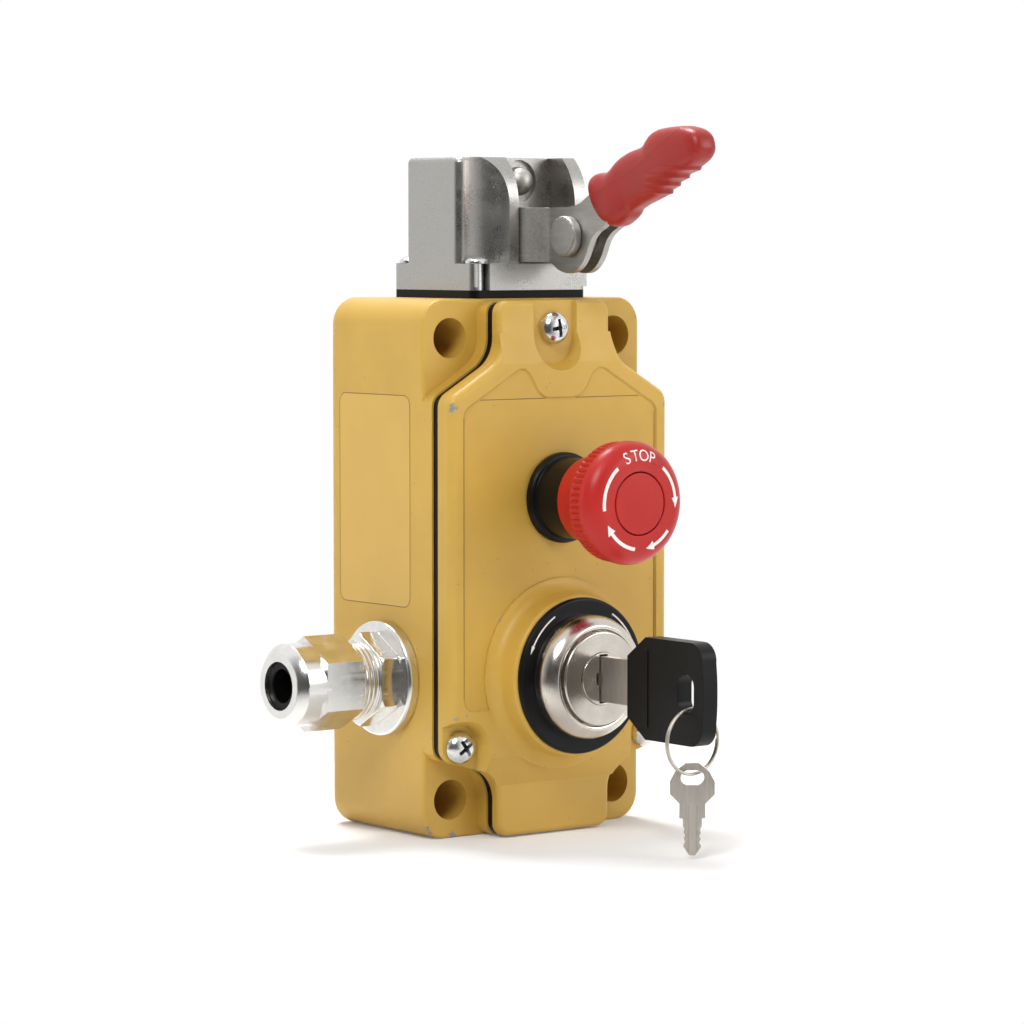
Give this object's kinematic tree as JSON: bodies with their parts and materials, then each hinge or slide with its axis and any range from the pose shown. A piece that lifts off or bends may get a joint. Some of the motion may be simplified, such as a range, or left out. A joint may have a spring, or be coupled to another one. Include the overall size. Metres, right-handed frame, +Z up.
{
  "type": "tongue interlock switch",
  "caption": "Die-cast safety interlock switch: hand lever with a flat tongue entering a metal head, mushroom stop button, key lock and side cable gland.",
  "frame": {"origin": "centre of the four mounting holes on the flat back plane", "axes": "+X to the right seen from the front, +Y into the wall behind, +Z up towards the tongue head"},
  "size_m": [0.1205, 0.132, 0.2104],
  "materials": {
    "yellow_paint": "semi-gloss enamel over die-cast alloy, chipped at the edges",
    "black_rubber": "matt rubber",
    "zinc_screw": "bright zinc plate",
    "cast_zinc": "satin cast metal",
    "steel_plate": "tumbled steel",
    "red_plastic": "satin moulded plastic",
    "black_plastic": "fine-grained moulded plastic",
    "white_plastic": "smooth moulded plastic",
    "nickel": "satin nickel plate",
    "plated_gland": "bright nickel-plated brass",
    "bronze": "sintered bronze",
    "spring_steel": "spring wire"
  },
  "bodies": {
    "housing": {"base_housing": "yellow_paint", "cover_gasket": "black_rubber", "front_cover": "yellow_paint", "cover_screws": "zinc_screw", "estop_collar": "black_plastic", "estop_nut": "black_plastic", "estop_contact_block": "black_plastic", "estop_terminals": "zinc_screw", "estop_spring": "spring_steel", "lock_ring": "black_plastic", "lock_bezel": "nickel", "lock_face": "nickel", "lock_nut": "nickel", "lock_contact_block": "black_plastic", "gland_washer": "plated_gland", "gland_body": "plated_gland", "gland_dome_nut": "plated_gland", "gland_seal": "black_rubber", "gland_locknut": "plated_gland", "head_gasket": "black_rubber", "head_block": "cast_zinc", "head_screws": "zinc_screw", "rod_bush": "bronze", "detent_spring": "spring_steel", "contact_block": "black_plastic", "contact_terminals": "zinc_screw", "block_screws": "zinc_screw", "rod_spring": "spring_steel", "earth_screw": "zinc_screw"},
    "tongue": {"tongue_bar": "steel_plate", "pivot_rivet": "steel_plate"},
    "lever": {"lever_plate_left": "steel_plate", "lever_plate_right": "steel_plate", "lever_grip": "red_plastic"},
    "rod": {"switch_rod": "steel_plate", "contact_pin": "white_plastic"},
    "detent": {"detent_plunger": "steel_plate"},
    "stop_stem": {"estop_stem": "black_plastic"},
    "stop_knob": {"estop_mushroom": "red_plastic", "estop_cap": "red_plastic"},
    "core": {"lock_core": "nickel", "lock_cam": "steel_plate", "cam_screw": "zinc_screw"},
    "follower": {"lock_plunger": "white_plastic"},
    "key": {"key_blade": "nickel", "key_bow": "black_plastic"},
    "ring": {"key_ring": "nickel"},
    "spare": {"spare_key": "nickel"}
  },
  "joints": [
    {"name": "tongue_slide", "type": "slide", "parent": "housing", "child": "tongue", "axis": [0, -1, 0], "range_m": [0, 0.016]},
    {"name": "lever_pivot", "type": "hinge", "parent": "tongue", "child": "lever", "pos_m": [0.0062, -0.063, 0.0984], "axis": [1, 0, 0], "range_deg": [0, 45]},
    {"name": "switch_rod_lift", "type": "slide", "parent": "housing", "child": "rod", "axis": [0, 0, 1], "range_m": [0, 0.0032], "deforming": ["rod_spring"]},
    {"name": "detent_press", "type": "slide", "parent": "housing", "child": "detent", "axis": [0, 1, 0], "range_m": [0, 0.0035], "stiffness_N_per_m": 800, "deforming": ["detent_spring"]},
    {"name": "stop_push", "type": "slide", "parent": "housing", "child": "stop_stem", "axis": [0, 1, 0], "range_m": [0, 0.004], "stiffness_N_per_m": 1500, "deforming": ["estop_spring"]},
    {"name": "stop_twist", "type": "hinge", "parent": "stop_stem", "child": "stop_knob", "pos_m": [0, -0.09, 0.021], "axis": [0, 1, 0], "range_deg": [0, 45], "stiffness_Nm_per_rad": 0.1},
    {"name": "lock_turn", "type": "hinge", "parent": "housing", "child": "core", "pos_m": [0, -0.07, -0.0315], "axis": [0, 1, 0], "range_deg": [0, 90]},
    {"name": "lock_plunger_slide", "type": "slide", "parent": "housing", "child": "follower", "axis": [1, 0, 0], "range_m": [0, 0.003]},
    {"name": "key_withdraw", "type": "slide", "parent": "core", "child": "key", "axis": [0, -1, 0], "range_m": [0, 0.018]},
    {"name": "ring_swing", "type": "hinge", "parent": "key", "child": "ring", "pos_m": [0, -0.1225, -0.03645], "axis": [1, 0, 0], "range_deg": [-45, 30]},
    {"name": "spare_swing", "type": "hinge", "parent": "ring", "child": "spare", "pos_m": [0, -0.1225, -0.05545], "axis": [1, 0, 0], "range_deg": [-30, 30]}
  ],
  "couplings": [
    {"joint": "switch_rod_lift", "follows": "tongue_slide", "ratio": 0.2},
    {"joint": "lock_plunger_slide", "follows": "lock_turn", "m_per_rad": 0.0019099}
  ]
}
